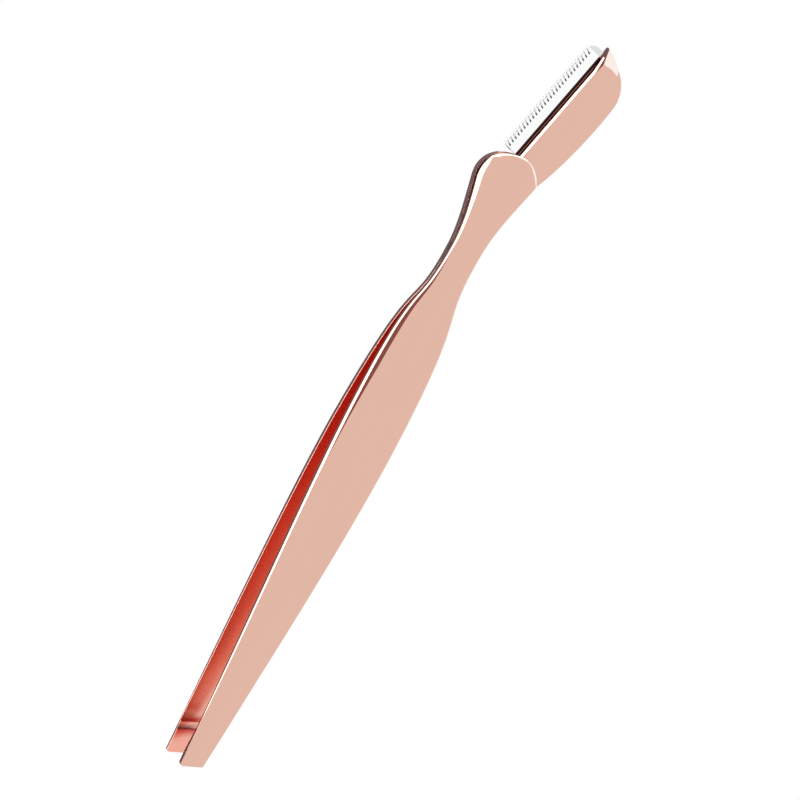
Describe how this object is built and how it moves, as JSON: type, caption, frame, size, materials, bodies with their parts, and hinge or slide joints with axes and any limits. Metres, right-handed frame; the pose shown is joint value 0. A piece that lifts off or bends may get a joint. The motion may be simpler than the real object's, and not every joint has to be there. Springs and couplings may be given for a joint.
{
  "type": "eyebrow razor",
  "caption": "Slant-tip spring tweezers with a guarded eyebrow razor clamped between the arms at the other end; squeezing the arms closes the tips.",
  "frame": {"origin": "middle of the back arm's flat outer head face, on the arms' centre line", "axes": "+X from the tweezer tips to the razor, +Y to the blade side, +Z from the back arm to the front arm"},
  "size_m": [0.1255, 0.0153, 0.0076],
  "materials": {
    "rose_gold": "stainless steel with polished rose-gold plating",
    "blade_steel": "ground stainless blade steel",
    "comb_steel": "bright rolled stainless sheet",
    "pin_steel": "plain turned steel"
  },
  "bodies": {
    "razor_head": {"front_holder_half": "rose_gold", "back_holder_half": "rose_gold", "razor_blade": "blade_steel", "guard_comb": "comb_steel", "blade_pins": "pin_steel", "tang_dowels": "pin_steel"},
    "front_arm": {"front_arm": "rose_gold"},
    "back_arm": {"back_arm": "rose_gold"}
  },
  "joints": [
    {"name": "front_arm_flex", "type": "hinge", "parent": "razor_head", "child": "front_arm", "pos_m": [-0.0181, 0, 0.00153], "axis": [0, -1, 0], "range_deg": [0, 2.02], "stiffness_Nm_per_rad": 1},
    {"name": "back_arm_flex", "type": "hinge", "parent": "razor_head", "child": "back_arm", "pos_m": [-0.0181, 0, 0.00153], "axis": [0, 1, 0], "range_deg": [0, 2.02], "stiffness_Nm_per_rad": 1}
  ],
  "couplings": [
    {"joint": "back_arm_flex", "follows": "front_arm_flex", "ratio": 1}
  ]
}
